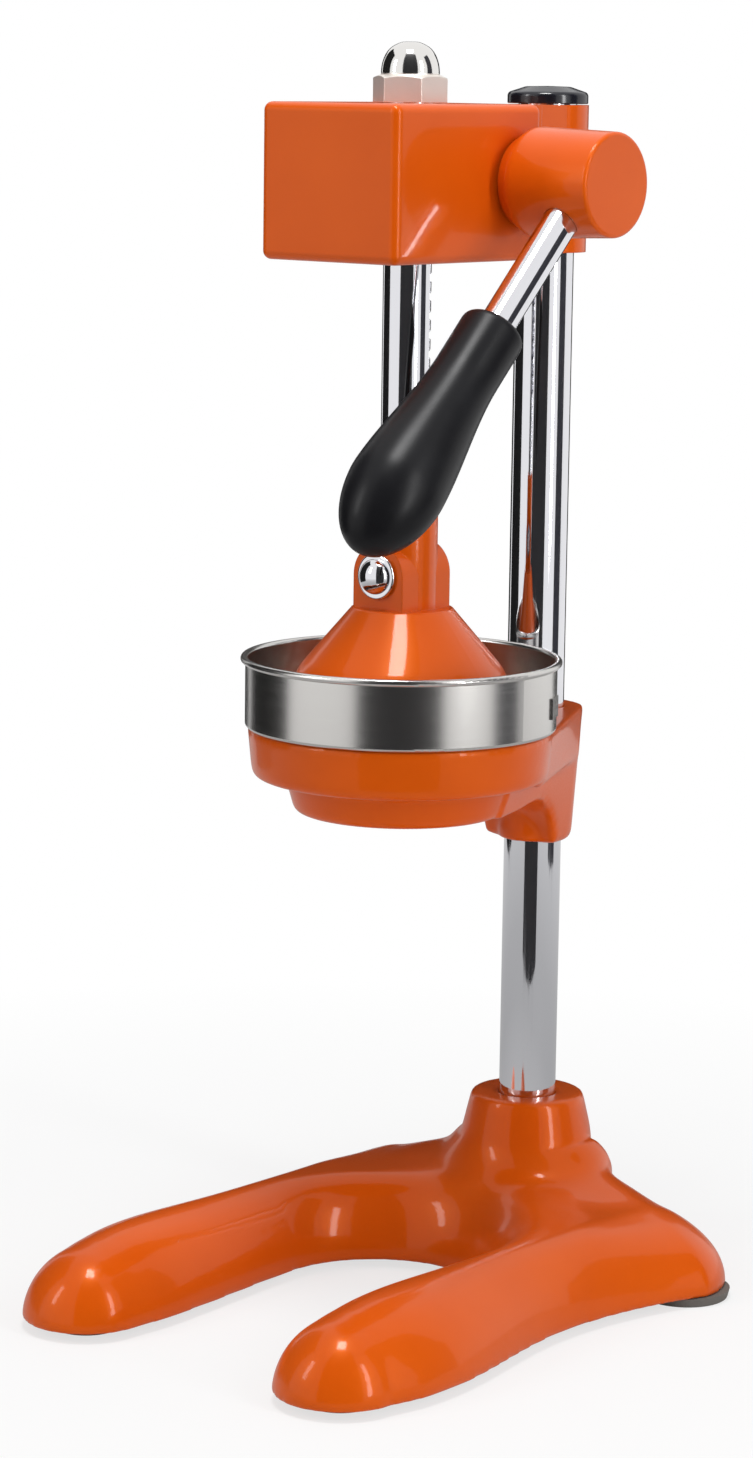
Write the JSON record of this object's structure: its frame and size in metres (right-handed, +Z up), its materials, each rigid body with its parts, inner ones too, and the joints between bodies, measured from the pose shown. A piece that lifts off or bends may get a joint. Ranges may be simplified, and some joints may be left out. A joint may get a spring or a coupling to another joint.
{
  "type": "lever citrus juice press",
  "caption": "Tabletop lever citrus press: rack and pinion head on a column pushes a press cone over a reamer in a strainer above a glass gap.",
  "frame": {"origin": "on the table under the middle of the base's footprint", "axes": "+Z up, -Y towards the user and the open end of the base, +X towards the lever's side"},
  "size_m": [0.219, 0.2624, 0.531],
  "materials": {
    "orange_paint": "gloss",
    "chrome_plate": "polished",
    "stainless_sheet": "satin",
    "cast_aluminium": "satin",
    "black_plastic": "satin",
    "foot_rubber": "matte",
    "bush_brass": "machined",
    "machined_steel": "machined"
  },
  "bodies": {
    "frame": {"base_casting": "orange_paint", "foot_front_left": "foot_rubber", "foot_front_right": "foot_rubber", "foot_rear_left": "foot_rubber", "foot_rear_right": "foot_rubber", "foot_screws": "machined_steel", "column_tube": "chrome_plate", "base_clamp_bolt": "machined_steel", "column_cap": "black_plastic", "bowl_bracket": "orange_paint", "bracket_set_screw": "machined_steel", "strainer_basket": "stainless_sheet", "reamer_cone": "cast_aluminium", "reamer_screw": "machined_steel", "head_casting": "orange_paint", "head_cover_plate": "orange_paint", "cover_screws": "machined_steel", "head_set_screws": "machined_steel", "upper_rack_bush": "bush_brass", "lower_rack_bush": "bush_brass", "left_shaft_bush": "bush_brass", "right_shaft_bush": "bush_brass", "thrust_washer": "bush_brass"},
    "press": {"toothed_rack": "chrome_plate", "acorn_nut": "chrome_plate", "press_cone": "orange_paint", "press_bolt": "chrome_plate", "press_bolt_washer": "chrome_plate", "press_bolt_nut": "machined_steel"},
    "lever": {"pinion_gear": "machined_steel", "pinion_key": "machined_steel", "pinion_shaft": "machined_steel", "shaft_end_washer": "machined_steel", "shaft_end_screw": "machined_steel", "hub_key": "machined_steel", "lever_hub": "orange_paint", "lever_rod": "chrome_plate", "lever_grip": "black_plastic"}
  },
  "joints": [
    {"name": "lever_pivot", "type": "hinge", "parent": "frame", "child": "lever", "pos_m": [0, 0.0405, 0.47515], "axis": [-1, 0, 0], "range_deg": [0, 180]},
    {"name": "rack_slide", "type": "slide", "parent": "frame", "child": "press", "axis": [0, 0, 1], "range_m": [0, 0.07462]}
  ],
  "couplings": [
    {"joint": "rack_slide", "follows": "lever_pivot", "m_per_rad": 0.02375}
  ]
}
